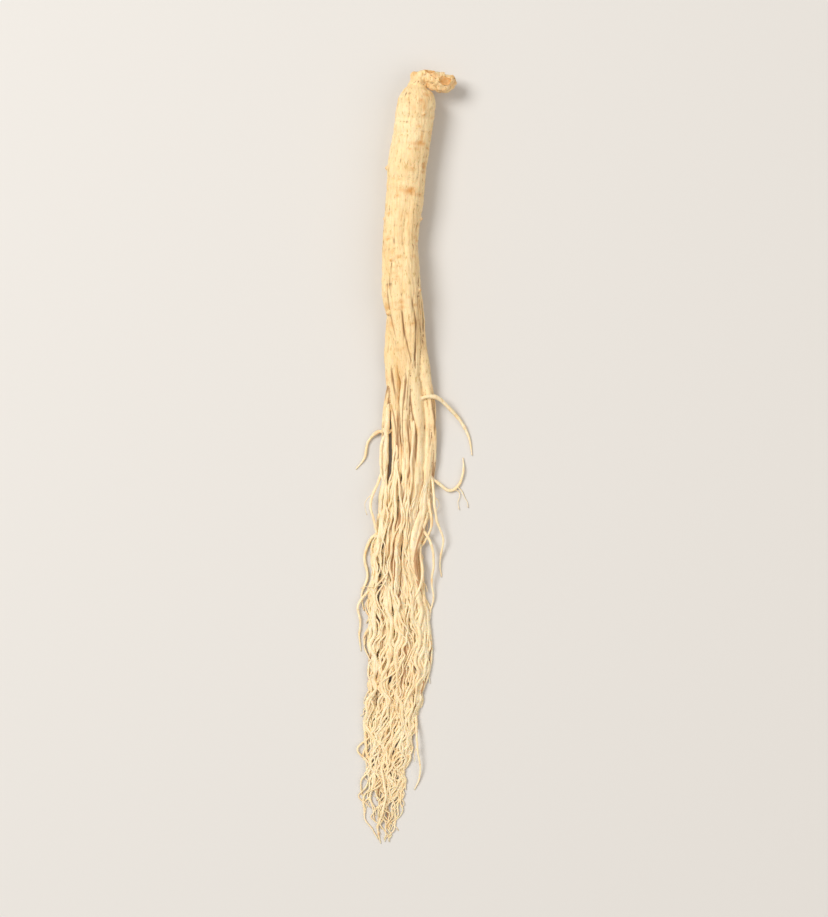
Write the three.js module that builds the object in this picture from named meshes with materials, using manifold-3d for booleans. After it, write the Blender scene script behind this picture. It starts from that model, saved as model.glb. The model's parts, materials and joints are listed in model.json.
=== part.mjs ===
// A whole ginseng root, lying on a table. It grew as one piece, so it is one solid: a knotted rhizome at the
// crown, a long wrinkled main root, the legs that it divides into, and a spray of fine rootlets.
// Millimetres, +Z up, the rhizome towards +Y. The origin is on the flat spot that the main root rests on.

import * as THREE from "three";
import { mergeVertices } from "three/addons/utils/BufferGeometryUtils.js";
import Module from "manifold-3d";

const wasm = await Module();
wasm.setup();
const { lerp, smoothstep, degToRad } = THREE.MathUtils;

// Driving dimensions
const BODY_RADIUS = 5.4;
const LEG_RADIUS = 2;
const ROOTLET_RADIUS = 0.45;
const TIP_RADIUS = 0.2;
const REST_CUT = 0.45;
const UP = new THREE.Vector3(0, 0, 1);

// Each route is a list of points: x, y, the gap under the limb, and its radius. A gap under zero is cut flat.
const BODY = [
  [3.3, 33.4, 3.1, 0.42 * BODY_RADIUS],
  [3.2, 32.2, 1.6, 0.7 * BODY_RADIUS],
  [3.2, 30.4, 0.5, 0.91 * BODY_RADIUS],
  [3.1, 27.6, 0.0, BODY_RADIUS],
  [2.2, 21.5, -REST_CUT, 0.99 * BODY_RADIUS],
  [1.1, 14.5, -REST_CUT, 0.99 * BODY_RADIUS],
  [0.3, 7.5, -REST_CUT, 0.97 * BODY_RADIUS],
  [-0.4, 0.5, -REST_CUT, 0.945 * BODY_RADIUS],
  [-1.1, -6.5, -REST_CUT, 0.935 * BODY_RADIUS],
  [-1.1, -14.0, -REST_CUT, 0.97 * BODY_RADIUS],
  [-0.9, -21.0, -REST_CUT, BODY_RADIUS],
  [-0.2, -27.0, -REST_CUT, 0.94 * BODY_RADIUS],
  [0.5, -33.0, -0.2, 0.85 * BODY_RADIUS],
  [1.2, -39.0, 0.0, 0.73 * BODY_RADIUS],
  [1.8, -45.5, 0.2, 0.57 * BODY_RADIUS],
  [2.2, -51.0, 0.6, 0.36 * BODY_RADIUS],
];

const RHIZOME = [
  [3.3, 30.0, 2.2, 3.0],
  [3.6, 33.4, 2.8, 2.6],
  [4.5, 35.6, 3.3, 2.25],
  [6.6, 35.7, 3.4, 2.35],
  [8.8, 34.8, 3.0, 2.7],
  [10.9, 34.3, 3.0, 2.75],
  [12.4, 34.9, 3.7, 2.0],
  [13.5, 35.5, 4.5, 1.1],
];

const LEGS = {
  main: [
    [1.0, -36.0, 0.4, 1.75 * LEG_RADIUS],
    [1.8, -46.0, -0.1, 1.6 * LEG_RADIUS],
    [2.5, -54.0, 0.05, 1.35 * LEG_RADIUS],
    [3.1, -62.0, 0.2, 1.15 * LEG_RADIUS],
    [3.2, -70.0, 0.4, LEG_RADIUS],
    [2.4, -80.0, 0.2, 0.87 * LEG_RADIUS],
    [1.0, -90.0, 0.05, 0.75 * LEG_RADIUS],
    [-0.5, -102.0, 0.3, 0.65 * LEG_RADIUS],
    [-1.6, -116.0, 0.6, 0.55 * LEG_RADIUS],
    [-3.0, -130.0, 0.3, 0.45 * LEG_RADIUS],
    [-3.6, -145.0, 0.1, 0.33 * LEG_RADIUS],
    [-5.4, -157.0, 0.4, 0.22 * LEG_RADIUS],
    [-4.6, -166.0, 0.05, TIP_RADIUS],
  ],
  right: [
    [2.4, -14.0, 3.6, 0.7 * LEG_RADIUS],
    [3.0, -21.5, 3.4, 0.85 * LEG_RADIUS],
    [3.3, -29.0, 2.8, LEG_RADIUS],
    [3.9, -37.0, 1.8, 1.05 * LEG_RADIUS],
    [5.1, -45.0, 0.7, 1.05 * LEG_RADIUS],
    [6.5, -54.0, -0.1, 0.97 * LEG_RADIUS],
    [6.5, -62.0, 0.05, 0.87 * LEG_RADIUS],
    [5.8, -71.0, 0.3, 0.8 * LEG_RADIUS],
    [4.3, -80.0, 0.2, 0.74 * LEG_RADIUS],
    [2.2, -89.0, 0.9, 0.68 * LEG_RADIUS],
    [1.8, -98.0, 0.8, 0.6 * LEG_RADIUS],
    [2.8, -108.0, 0.3, 0.53 * LEG_RADIUS],
    [2.5, -118.0, 0.1, 0.47 * LEG_RADIUS],
    [2.0, -128.0, 0.4, 0.4 * LEG_RADIUS],
    [0.4, -138.0, 0.6, 0.32 * LEG_RADIUS],
    [-1.0, -147.0, 0.2, 0.24 * LEG_RADIUS],
    [-3.0, -156.0, 0.1, TIP_RADIUS],
  ],
  left: [
    [-1.2, -23.0, 2.4, 1.2 * LEG_RADIUS],
    [-2.7, -30.0, 1.4, 1.2 * LEG_RADIUS],
    [-3.4, -38.0, 0.6, 1.15 * LEG_RADIUS],
    [-3.1, -46.0, 0.1, 1.05 * LEG_RADIUS],
    [-2.2, -55.0, -0.1, 0.95 * LEG_RADIUS],
    [-1.8, -64.0, 0.1, 0.85 * LEG_RADIUS],
    [-2.5, -74.0, 0.3, 0.75 * LEG_RADIUS],
    [-3.9, -84.0, 0.1, 0.68 * LEG_RADIUS],
    [-4.6, -95.0, 0.2, 0.6 * LEG_RADIUS],
    [-5.2, -107.0, 0.5, 0.52 * LEG_RADIUS],
    [-6.5, -119.0, 0.2, 0.45 * LEG_RADIUS],
    [-6.0, -131.0, 0.1, 0.37 * LEG_RADIUS],
    [-7.4, -142.0, 0.3, 0.3 * LEG_RADIUS],
    [-6.7, -152.0, 0.2, 0.22 * LEG_RADIUS],
    [-7.6, -161.0, 0.05, TIP_RADIUS],
  ],
  middle: [
    [1.4, -36.0, 3.4, 0.75 * LEG_RADIUS],
    [0.9, -44.0, 3.4, 0.85 * LEG_RADIUS],
    [0.3, -52.0, 2.6, 0.85 * LEG_RADIUS],
    [0.5, -61.0, 2.3, 0.78 * LEG_RADIUS],
    [0.9, -70.0, 2.0, 0.7 * LEG_RADIUS],
    [-0.3, -80.0, 1.8, 0.64 * LEG_RADIUS],
    [-2.0, -90.0, 1.6, 0.57 * LEG_RADIUS],
    [-2.7, -101.0, 1.5, 0.5 * LEG_RADIUS],
    [-1.0, -112.0, 1.4, 0.44 * LEG_RADIUS],
    [0.2, -123.0, 1.0, 0.38 * LEG_RADIUS],
    [-1.5, -134.0, 0.9, 0.32 * LEG_RADIUS],
    [-0.6, -145.0, 0.3, 0.24 * LEG_RADIUS],
    [-0.4, -155.0, 0.2, TIP_RADIUS],
  ],
  outerRight: [
    [4.8, -42.0, 2.1, 0.5 * LEG_RADIUS],
    [6.2, -49.0, 2.5, 0.55 * LEG_RADIUS],
    [7.4, -57.0, 1.6, 0.58 * LEG_RADIUS],
    [7.6, -65.0, 0.6, 0.54 * LEG_RADIUS],
    [7.0, -74.0, 0.1, 0.5 * LEG_RADIUS],
    [5.3, -84.0, 0.6, 0.45 * LEG_RADIUS],
    [2.9, -94.0, 2.0, 0.41 * LEG_RADIUS],
    [4.2, -105.0, 0.8, 0.36 * LEG_RADIUS],
    [6.3, -116.0, 0.05, 0.31 * LEG_RADIUS],
    [5.4, -127.0, 0.5, 0.26 * LEG_RADIUS],
    [2.8, -138.0, 0.2, 0.2 * LEG_RADIUS],
    [1.4, -147.0, 0.1, TIP_RADIUS],
  ],
  outerLeft: [
    [-2.8, -42.0, 2.0, 0.5 * LEG_RADIUS],
    [-4.3, -50.0, 1.6, 0.56 * LEG_RADIUS],
    [-5.3, -59.0, 0.4, 0.54 * LEG_RADIUS],
    [-5.1, -69.0, 0.1, 0.5 * LEG_RADIUS],
    [-6.0, -80.0, 0.5, 0.45 * LEG_RADIUS],
    [-7.7, -91.0, 0.2, 0.41 * LEG_RADIUS],
    [-8.1, -102.0, 0.1, 0.36 * LEG_RADIUS],
    [-7.9, -113.0, 0.4, 0.31 * LEG_RADIUS],
    [-9.6, -124.0, 0.2, 0.26 * LEG_RADIUS],
    [-9.5, -135.0, 0.05, 0.21 * LEG_RADIUS],
    [-10.4, -145.0, 0.2, TIP_RADIUS],
  ],
};

// Rootlets that stand out from the bundle one by one.
const STRAYS = [
  [
    [3.4, -51.6, 3.3, 0.5],
    [6.0, -50.6, 4.2, 0.6],
    [9.0, -51.0, 3.4, 0.55],
    [12.0, -53.6, 1.8, 0.5],
    [15.2, -57.2, 0.6, 0.42],
    [17.5, -61.6, 0.1, 0.34],
    [18.4, -66.6, 0.1, TIP_RADIUS],
  ],
  [
    [6.2, -72.0, 1.0, 0.5],
    [9.2, -74.2, 0.8, 0.45],
    [12.2, -76.2, 0.3, 0.4],
    [14.8, -74.6, 0.1, 0.35],
    [16.0, -70.8, 0.4, 0.3],
    [15.9, -67.2, 0.2, TIP_RADIUS],
  ],
  [
    [3.2, -106.5, 0.6, 0.42],
    [5.4, -110.4, 0.8, 0.4],
    [6.9, -115.2, 0.3, 0.36],
    [7.3, -121.0, 0.1, 0.32],
    [6.3, -127.0, 0.3, 0.28],
    [4.4, -131.6, 0.4, TIP_RADIUS],
  ],
  [
    [-4.6, -60.0, 0.6, 0.45],
    [-7.4, -60.2, 0.5, 0.4],
    [-10.0, -62.8, 0.2, 0.34],
    [-11.0, -67.2, 0.1, 0.3],
    [-13.4, -70.4, 0.1, TIP_RADIUS],
  ],
  [
    [-6.6, -87.0, 0.5, 0.42],
    [-9.4, -89.6, 0.4, 0.4],
    [-11.0, -94.4, 0.1, 0.36],
    [-10.2, -99.6, 0.3, 0.32],
    [-11.8, -104.6, 0.1, 0.28],
    [-11.2, -109.0, 0.1, TIP_RADIUS],
  ],
];

// The spray: how many rootlets grow from each leg, the stretch of it that they grow from, and their rule.
// A pair holds the limits of a draw, or a value at the top and at the tip of a leg. FORK_SHARE is how thick a
// rootlet may be against the leg that it leaves, LOFT how high it arches, GROUND_GAP how far it stays off the
// table, and BUNDLE the middle line that the rootlets gather to, with its lean in x.
const SPRAY_SEED = 7;
const SPRAY_COUNT = { main: 5, right: 5, left: 5, middle: 4, outerRight: 4, outerLeft: 4 };
const SPRAY_FROM = 0.22;
const SPRAY_TO = 0.94;
const SPRAY_POINTS = 7;
const SPRAY_JITTER = [0.2, 0.8];
const SPRAY_TURN = [0.5, 1.1];
const SPRAY_LENGTH = [24, 40];
const SPRAY_STRETCH = [1.15, 0.6];
const SPRAY_LOFT = [0.2, 4.5];
const LOFT_SHARE = [1, 0.4];
const ARCH_FROM = 0.15;
const GROUND_GAP = 0.05;
const FORK_SHARE = 0.85;
const WANDER = [-0.42, 0.42];
const DOWN = -Math.PI / 2;
const BUNDLE = { x: 3.2, y: -60, lean: 0.08 };
const SPREAD = 0.05;
const PULL = 0.4;

// How finely each limb is faceted
const BODY_SIDES = 22;
const BODY_RINGS = 52;
const RHIZOME_SIDES = 12;
const RHIZOME_RINGS = 20;
const LEG_SIDES = 7;
const RINGS_PER_POINT = 2;
const ROOTLET_SIDES = 3;

// Wrinkles along the main root, and the creases that run round it at the places y in CREASES
const FURROWS = [
  { count: 4, wave: 17, phase: 0.4, depth: 0.42 },
  { count: 7, wave: 11, phase: 2.1, depth: 0.3 },
];
const FURROW_DRIFT = 1.4;
const FURROW_SHARPNESS = 4;
const FURROW_FADE = { low: -24, high: 14, least: 0.3 };
const SWELLS = [
  { wave: 5.3, height: 0.16 },
  { wave: 2.9, height: 0.1 },
];
const CREASES = [27.2, 24.4, 20.6, 17.9, 12.6, 7.4, 4.9, -1.6, -9.8, -17.2];
const CREASE_DEPTH = 0.26;
const CREASE_WIDTH = 0.8;
const CREASE_SWAY = 0.5;
const UNDERSIDE_RELIEF = 0.3;

// Knots round the rhizome: how many there are round it, how they turn along it, and their height
const KNOTS = [
  { count: 3, turn: 1, height: 0.18 },
  { count: 5, turn: -2, height: 0.12 },
];

// Stubs of lost rootlets: share of the way down the main root, angle round it in degrees, and radius
const STUBS = [
  [0.37, 176, 0.75],
  [0.5, 172, 0.65],
  [0.49, 8, 0.7],
  [0.22, 62, 0.6],
  [0.6, 118, 0.7],
  [0.68, 24, 0.7],
  [0.74, 150, 0.75],
];

// Dished scars that old stems left on the rhizome: x, y, z and radius of the ball that dishes each one
const SCARS = [
  [11.3, 34.9, 9.7, 2.1],
  [14.3, 36.9, 5.6, 1.5],
  [6.9, 38.2, 7.9, 1.6],
  [8.4, 31.0, 7.6, 1.4],
];
const BUD = { centre: [2.4, 36.2, 6.2], radius: 1.35 };

// What is cut away below the table's top
const TABLE = { size: [200, 500, 20], centre: [0, -60, -10] };

// Draws numbers between two limits, the same ones on every run.
function dice(seed) {
  let state = seed;
  return (low, high) => {
    state = (Math.imul(state, 1664525) + 1013904223) >>> 0;
    return low + ((high - low) * state) / 4294967296;
  };
}

// The middle line of a route, and its radius at the same places.
function spine(route) {
  const smooth = (points) => new THREE.CatmullRomCurve3(points, false, "catmullrom", 0.5);
  return {
    line: smooth(route.map(([x, y, gap, radius]) => new THREE.Vector3(x, y, gap + radius))),
    radius: smooth(route.map((point) => new THREE.Vector3(point[3], 0, 0))),
  };
}

// A closed mesh as a solid.
function solid(geometry) {
  geometry.deleteAttribute("normal");
  geometry.deleteAttribute("uv");
  const merged = mergeVertices(geometry, 1e-4);
  return new wasm.Manifold(
    new wasm.Mesh({
      numProp: 3,
      vertProperties: merged.attributes.position.array,
      triVerts: new Uint32Array(merged.index.array),
    }),
  );
}

// A place beside a middle line: how far along it, the angle round it from the side to the top, the reach.
function around(line, share, angle, reach) {
  const along = line.getTangent(share);
  const side = new THREE.Vector3().crossVectors(UP, along).normalize();
  const top = new THREE.Vector3().crossVectors(along, side);
  const out = side.multiplyScalar(Math.cos(angle)).addScaledVector(top, Math.sin(angle));
  return line.getPoint(share).addScaledVector(out, reach).toArray();
}

// A limb turned on a lathe with its own radius, then bent along its middle line.
// relief gives the height of the wrinkles at a place down the root and an angle round the limb.
function limb(route, sides, rings, relief = () => 0) {
  const { line, radius } = spine(route);
  const profile = [new THREE.Vector2(0, 0)];
  for (let i = 0; i <= rings; i++) {
    profile.push(new THREE.Vector2(radius.getPoint(i / rings).x, i / rings));
  }
  profile.push(new THREE.Vector2(0, 1));
  const geometry = new THREE.LatheGeometry(profile, sides);
  const place = geometry.getAttribute("position");
  for (let i = 0; i < place.count; i++) {
    const [x, share, z] = [place.getX(i), place.getY(i), place.getZ(i)];
    const angle = Math.atan2(-z, x);
    const bare = Math.hypot(x, z);
    const reach = bare > 0 ? bare + relief(line.getPoint(share).y, angle) : 0;
    place.setXYZ(i, ...around(line, share, angle, reach));
  }
  return solid(geometry);
}

// Long furrows that drift round the main root and deepen towards the legs, with slow swellings and
// creases across it, all of them fainter underneath.
function bodyRelief(y, angle) {
  let height = 0;
  SWELLS.forEach((swell, i) => {
    height += swell.height * Math.sin(y / swell.wave + (i + 1) * Math.cos(angle + 0.6));
  });
  const lifted = smoothstep(y, FURROW_FADE.low, FURROW_FADE.high);
  const depthShare = lerp(1, FURROW_FADE.least, lifted);
  FURROWS.forEach(({ count, wave, phase, depth }) => {
    const turn = count * angle + FURROW_DRIFT * Math.sin(y / wave + phase) + phase;
    height -= depthShare * depth * Math.pow(0.5 + 0.5 * Math.cos(turn), FURROW_SHARPNESS);
  });
  CREASES.forEach((at, i) => {
    const off = (y - at - CREASE_SWAY * Math.sin(angle + i)) / CREASE_WIDTH;
    height -= CREASE_DEPTH * Math.exp(-off * off) * (0.6 + 0.4 * Math.cos(angle - 1.7 * i));
  });
  return height * lerp(UNDERSIDE_RELIEF, 1, 0.5 + 0.5 * Math.sin(angle));
}

function rhizomeRelief(y, angle) {
  return KNOTS.reduce((sum, { count, turn, height }) => sum + height * Math.sin(count * angle + turn * y), 0);
}

// A rootlet leaves its leg sideways, turns down the root, and wanders as it goes.
function sprayRoute(leg, at, turn, length, roll) {
  const { line, radius: girth } = spine(leg);
  const thick = Math.min(ROOTLET_RADIUS, FORK_SHARE * girth.getPoint(at).x);
  const start = line.getPoint(at);
  const along = line.getTangent(at);
  const step = length / (SPRAY_POINTS - 1);
  const loft = roll(...SPRAY_LOFT) * lerp(...LOFT_SHARE, at);
  let [x, y] = [start.x, start.y];
  let heading = Math.atan2(along.y, along.x) + turn;
  const route = [];
  for (let i = 0; i < SPRAY_POINTS; i++) {
    const share = i / (SPRAY_POINTS - 1);
    const radius = lerp(thick, TIP_RADIUS, share);
    const gap = loft * Math.sin(Math.PI * lerp(ARCH_FROM, 1, share)) ** 2 + GROUND_GAP;
    route.push([x, y, i === 0 ? start.z - radius : gap, radius]);
    const middle = BUNDLE.x + BUNDLE.lean * (y - BUNDLE.y);
    const target = DOWN - SPREAD * (x - middle);
    heading += PULL * (target - heading) + roll(...WANDER);
    x += step * Math.cos(heading);
    y += step * Math.sin(heading);
  }
  return route;
}

// The rootlets of every leg, on both sides by turns and out to the tips.
function sprayRoutes() {
  const roll = dice(SPRAY_SEED);
  return Object.entries(SPRAY_COUNT).flatMap(([name, count]) =>
    Array.from({ length: count }, (_, i) => {
      const at = lerp(SPRAY_FROM, SPRAY_TO, (i + roll(...SPRAY_JITTER)) / count);
      const turn = (i % 2 ? 1 : -1) * roll(...SPRAY_TURN);
      const length = roll(...SPRAY_LENGTH) * lerp(...SPRAY_STRETCH, at);
      return sprayRoute(LEGS[name], at, turn, length, roll);
    }),
  );
}

function ball([x, y, z], radius, detail = 1) {
  return solid(new THREE.IcosahedronGeometry(radius, detail).translate(x, y, z));
}

function stubs() {
  const { line, radius } = spine(BODY);
  return STUBS.map(([share, degrees, size]) => {
    const angle = degToRad(degrees);
    const skin = radius.getPoint(share).x + bodyRelief(line.getPoint(share).y, angle);
    return ball(around(line, share, angle, skin), size, 0);
  });
}

function crown() {
  const rhizome = limb(RHIZOME, RHIZOME_SIDES, RHIZOME_RINGS, rhizomeRelief);
  const dished = SCARS.reduce((made, [x, y, z, radius]) => made.subtract(ball([x, y, z], radius)), rhizome);
  return dished.add(ball(BUD.centre, BUD.radius));
}

function wholeRoot() {
  const body = limb(BODY, BODY_SIDES, BODY_RINGS, bodyRelief);
  const plainLimb = (route, sides) => limb(route, sides, RINGS_PER_POINT * (route.length - 1));
  const legs = Object.values(LEGS).map((route) => plainLimb(route, LEG_SIDES));
  const rootlets = [...STRAYS, ...sprayRoutes()].map((route) => plainLimb(route, ROOTLET_SIDES));
  const grown = wasm.Manifold.union([body, crown(), ...stubs(), ...legs, ...rootlets]);
  const table = solid(new THREE.BoxGeometry(...TABLE.size).translate(...TABLE.centre));
  return grown.subtract(table);
}

// The solid as a mesh.
function meshOf(made, name, material) {
  const { vertProperties, triVerts } = made.getMesh();
  const geometry = new THREE.BufferGeometry();
  geometry.setAttribute("position", new THREE.BufferAttribute(vertProperties, 3));
  geometry.setIndex(new THREE.BufferAttribute(triVerts, 1));
  geometry.computeVertexNormals();
  const mesh = new THREE.Mesh(geometry, material);
  mesh.name = name;
  return mesh;
}

const skin = new THREE.MeshStandardMaterial({ color: 0xe6c48c, roughness: 0.7, metalness: 0 });

const ginseng = new THREE.Group();
ginseng.add(meshOf(wholeRoot(), "ginseng_root", skin));

export default ginseng;
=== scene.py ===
"""A whole ginseng root, lying on a pale table and seen from straight above.

The root grew as one piece. Its main root, rhizome and legs are one fused skin, and its rootlets
grow from the legs in a dense mat. Lengths are in millimetres until a mesh is made, which is in
metres. +Y is towards the rhizome.
"""

import itertools
import json
import math

import bpy
import numpy as np
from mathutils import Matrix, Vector, kdtree

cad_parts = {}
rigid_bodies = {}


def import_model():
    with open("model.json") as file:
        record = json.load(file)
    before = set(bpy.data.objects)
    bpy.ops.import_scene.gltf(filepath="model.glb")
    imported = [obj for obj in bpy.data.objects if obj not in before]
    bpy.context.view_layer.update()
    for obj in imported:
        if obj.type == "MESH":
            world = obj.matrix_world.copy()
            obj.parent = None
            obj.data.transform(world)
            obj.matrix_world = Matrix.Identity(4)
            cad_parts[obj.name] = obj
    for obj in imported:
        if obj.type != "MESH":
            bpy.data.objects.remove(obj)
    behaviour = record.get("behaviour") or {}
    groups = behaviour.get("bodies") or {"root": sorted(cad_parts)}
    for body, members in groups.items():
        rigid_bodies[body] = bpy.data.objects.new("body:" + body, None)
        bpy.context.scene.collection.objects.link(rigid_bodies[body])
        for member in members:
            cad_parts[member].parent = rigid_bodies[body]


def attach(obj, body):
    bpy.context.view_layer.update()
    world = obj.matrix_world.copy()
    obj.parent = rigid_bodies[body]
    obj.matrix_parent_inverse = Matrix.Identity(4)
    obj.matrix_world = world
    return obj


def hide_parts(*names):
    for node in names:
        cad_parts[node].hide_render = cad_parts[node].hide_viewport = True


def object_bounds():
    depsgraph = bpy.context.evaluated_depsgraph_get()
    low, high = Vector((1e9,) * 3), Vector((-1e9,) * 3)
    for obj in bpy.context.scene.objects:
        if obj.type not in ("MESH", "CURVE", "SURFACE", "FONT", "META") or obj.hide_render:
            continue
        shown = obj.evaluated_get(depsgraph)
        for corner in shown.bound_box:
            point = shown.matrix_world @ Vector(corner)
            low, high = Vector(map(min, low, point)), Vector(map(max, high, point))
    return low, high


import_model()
cad_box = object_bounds()

MM = 0.001
TAU = 2 * math.pi
UP = np.array([0.0, 0.0, 1.0])
TINY = 1e-6

# Driving dimensions
BODY_RADIUS = 5.4
LEG_RADIUS = 2
ROOTLET_RADIUS = 0.45
TIP_RADIUS = 0.2
REST_CUT = 0.45

# Each route is a list of points: x, y, the gap under the limb, and its radius, which the main root has as a
# share of BODY_RADIUS and a leg as a share of LEG_RADIUS.
BODY_ROUTE = [
    (3.3, 33.4, 3.1, 0.42), (3.2, 32.2, 1.6, 0.7), (3.2, 30.4, 0.5, 0.91),
    (3.1, 27.6, 0, 1), (2.2, 21.5, -REST_CUT, 0.99), (1.1, 14.5, -REST_CUT, 0.99),
    (0.3, 7.5, -REST_CUT, 0.97), (-0.4, 0.5, -REST_CUT, 0.945), (-1.1, -6.5, -REST_CUT, 0.935),
    (-1.1, -14, -REST_CUT, 0.97), (-0.9, -21, -REST_CUT, 1), (-0.2, -27, -REST_CUT, 0.94),
    (0.5, -33, -0.2, 0.85), (1.2, -39, 0, 0.73), (1.8, -45.5, 0.2, 0.57),
    (2.2, -51, 0.6, 0.36),
]

RHIZOME = [
    (3.3, 30, 2.2, 3), (3.6, 33.4, 2.8, 2.6), (4.5, 35.6, 3.3, 2.25),
    (6.6, 35.7, 3.4, 2.35), (8.8, 34.8, 3, 2.7), (10.9, 34.3, 3, 2.75),
    (12.4, 34.9, 3.7, 2), (13.5, 35.5, 4.5, 1.1),
]

LEG_ROUTES = {
    "main": [
        (1, -36, 0.4, 1.75), (1.8, -46, -0.1, 1.6), (2.5, -54, 0.05, 1.35),
        (3.1, -62, 0.2, 1.15), (3.2, -70, 0.4, 1), (2.4, -80, 0.2, 0.87),
        (1, -90, 0.05, 0.75), (-0.5, -102, 0.3, 0.65), (-1.6, -116, 0.6, 0.55),
        (-3, -130, 0.3, 0.45), (-3.6, -145, 0.1, 0.33), (-5.4, -157, 0.4, 0.22),
        (-4.6, -166, 0.05, 0.1),
    ],
    "right": [
        (2.4, -14, 3.6, 0.7), (3, -21.5, 3.4, 0.85), (3.3, -29, 2.8, 1),
        (3.9, -37, 1.8, 1.05), (5.1, -45, 0.7, 1.05), (6.5, -54, -0.1, 0.97),
        (6.5, -62, 0.05, 0.87), (5.8, -71, 0.3, 0.8), (4.3, -80, 0.2, 0.74),
        (2.2, -89, 0.9, 0.68), (1.8, -98, 0.8, 0.6), (2.8, -108, 0.3, 0.53),
        (2.5, -118, 0.1, 0.47), (2, -128, 0.4, 0.4), (0.4, -138, 0.6, 0.32),
        (-1, -147, 0.2, 0.24), (-3, -156, 0.1, 0.1),
    ],
    "left": [
        (-1.2, -23, 2.4, 1.2), (-2.7, -30, 1.4, 1.2), (-3.4, -38, 0.6, 1.15),
        (-3.1, -46, 0.1, 1.05), (-2.2, -55, -0.1, 0.95), (-1.8, -64, 0.1, 0.85),
        (-2.5, -74, 0.3, 0.75), (-3.9, -84, 0.1, 0.68), (-4.6, -95, 0.2, 0.6),
        (-5.2, -107, 0.5, 0.52), (-6.5, -119, 0.2, 0.45), (-6, -131, 0.1, 0.37),
        (-7.4, -142, 0.3, 0.3), (-6.7, -152, 0.2, 0.22), (-7.6, -161, 0.05, 0.1),
    ],
    "middle": [
        (1.4, -36, 3.4, 0.75), (0.9, -44, 3.4, 0.85), (0.3, -52, 2.6, 0.85),
        (0.5, -61, 2.3, 0.78), (0.9, -70, 2, 0.7), (-0.3, -80, 1.8, 0.64),
        (-2, -90, 1.6, 0.57), (-2.7, -101, 1.5, 0.5), (-1, -112, 1.4, 0.44),
        (0.2, -123, 1, 0.38), (-1.5, -134, 0.9, 0.32), (-0.6, -145, 0.3, 0.24),
        (-0.4, -155, 0.2, 0.1),
    ],
    "outerRight": [
        (4.8, -42, 2.1, 0.5), (6.2, -49, 2.5, 0.55), (7.4, -57, 1.6, 0.58),
        (7.6, -65, 0.6, 0.54), (7, -74, 0.1, 0.5), (5.3, -84, 0.6, 0.45),
        (2.9, -94, 2, 0.41), (4.2, -105, 0.8, 0.36), (6.3, -116, 0.05, 0.31),
        (5.4, -127, 0.5, 0.26), (2.8, -138, 0.2, 0.2), (1.4, -147, 0.1, 0.1),
    ],
    "outerLeft": [
        (-2.8, -42, 2, 0.5), (-4.3, -50, 1.6, 0.56), (-5.3, -59, 0.4, 0.54),
        (-5.1, -69, 0.1, 0.5), (-6, -80, 0.5, 0.45), (-7.7, -91, 0.2, 0.41),
        (-8.1, -102, 0.1, 0.36), (-7.9, -113, 0.4, 0.31), (-9.6, -124, 0.2, 0.26),
        (-9.5, -135, 0.05, 0.21), (-10.4, -145, 0.2, 0.1),
    ],
}

# Rootlets that stand out from the bundle one by one
STRAYS = [
    [
        (3.4, -51.6, 3.3, 0.5), (6, -50.6, 4.2, 0.6), (9, -51, 3.4, 0.55),
        (12, -53.6, 1.8, 0.5), (15.2, -57.2, 0.6, 0.42), (17.5, -61.6, 0.1, 0.34),
        (18.4, -66.6, 0.1, TIP_RADIUS),
    ],
    [
        (6.2, -72, 1, 0.5), (9.2, -74.2, 0.8, 0.45), (12.2, -76.2, 0.3, 0.4),
        (14.8, -74.6, 0.1, 0.35), (16, -70.8, 0.4, 0.3), (15.9, -67.2, 0.2, TIP_RADIUS),
    ],
    [
        (3.2, -106.5, 0.6, 0.42), (5.4, -110.4, 0.8, 0.4), (6.9, -115.2, 0.3, 0.36),
        (7.3, -121, 0.1, 0.32), (6.3, -127, 0.3, 0.28), (4.4, -131.6, 0.4, TIP_RADIUS),
    ],
    [
        (-4.6, -60, 0.6, 0.45), (-7.4, -60.2, 0.5, 0.4), (-10, -62.8, 0.2, 0.34),
        (-11, -67.2, 0.1, 0.3), (-13.4, -70.4, 0.1, TIP_RADIUS),
    ],
    [
        (-6.6, -87, 0.5, 0.42), (-9.4, -89.6, 0.4, 0.4), (-11, -94.4, 0.1, 0.36),
        (-10.2, -99.6, 0.3, 0.32), (-11.8, -104.6, 0.1, 0.28), (-11.2, -109, 0.1, TIP_RADIUS),
    ],
]

# The rule of the larger rootlets, with their count for each leg. A pair holds the limits of a draw, or a
# value at the top and at the tip of a leg. FORK_SHARE is a rootlet's girth against what it leaves, LOFT how
# high it arches, and BUNDLE the line that they gather to.
SPRAY_SEED = 7
SPRAY_COUNT = [5, 5, 5, 4, 4, 4]
SPRAY_FROM = 0.22
SPRAY_TO = 0.94
SPRAY_STEPS = 6
SPRAY_JITTER = (0.2, 0.8)
SPRAY_TURN = (0.5, 1.1)
SPRAY_LENGTH = (24, 40)
SPRAY_STRETCH = (1.15, 0.6)
SPRAY_LOFT = (0.2, 4.5)
LOFT_SHARE = (1, 0.4)
ARCH_FROM = 0.15
GROUND_GAP = 0.05
FORK_SHARE = 0.85
WANDER = (-0.42, 0.42)
DOWN = -math.pi / 2
BUNDLE = {"x": 3.2, "y": -60, "lean": 0.08}
SPREAD = 0.05
PULL = 0.4

# How finely each limb is meshed: the sides round it, and the mm of a step along it
BODY_MESH = (136, 0.34)
RHIZOME_MESH = (84, 0.2)
LEG_SIDES = [48, 36, 36, 28, 18, 18]
LEG_STEP = 0.42
STRAY_SIDES = 12
LARGE_SIDES = 8
BRANCH_SIDES = 5
ROOTLET_STEP = 0.7
STUMP_SIDES = 18
SPINE_SAMPLES = 40

# Draws, which follow the rule next = (TIMES * last + PLUS) % SIZE
DICE_TIMES = 1664525
DICE_PLUS = 1013904223
DICE_SIZE = 2**32

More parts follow.
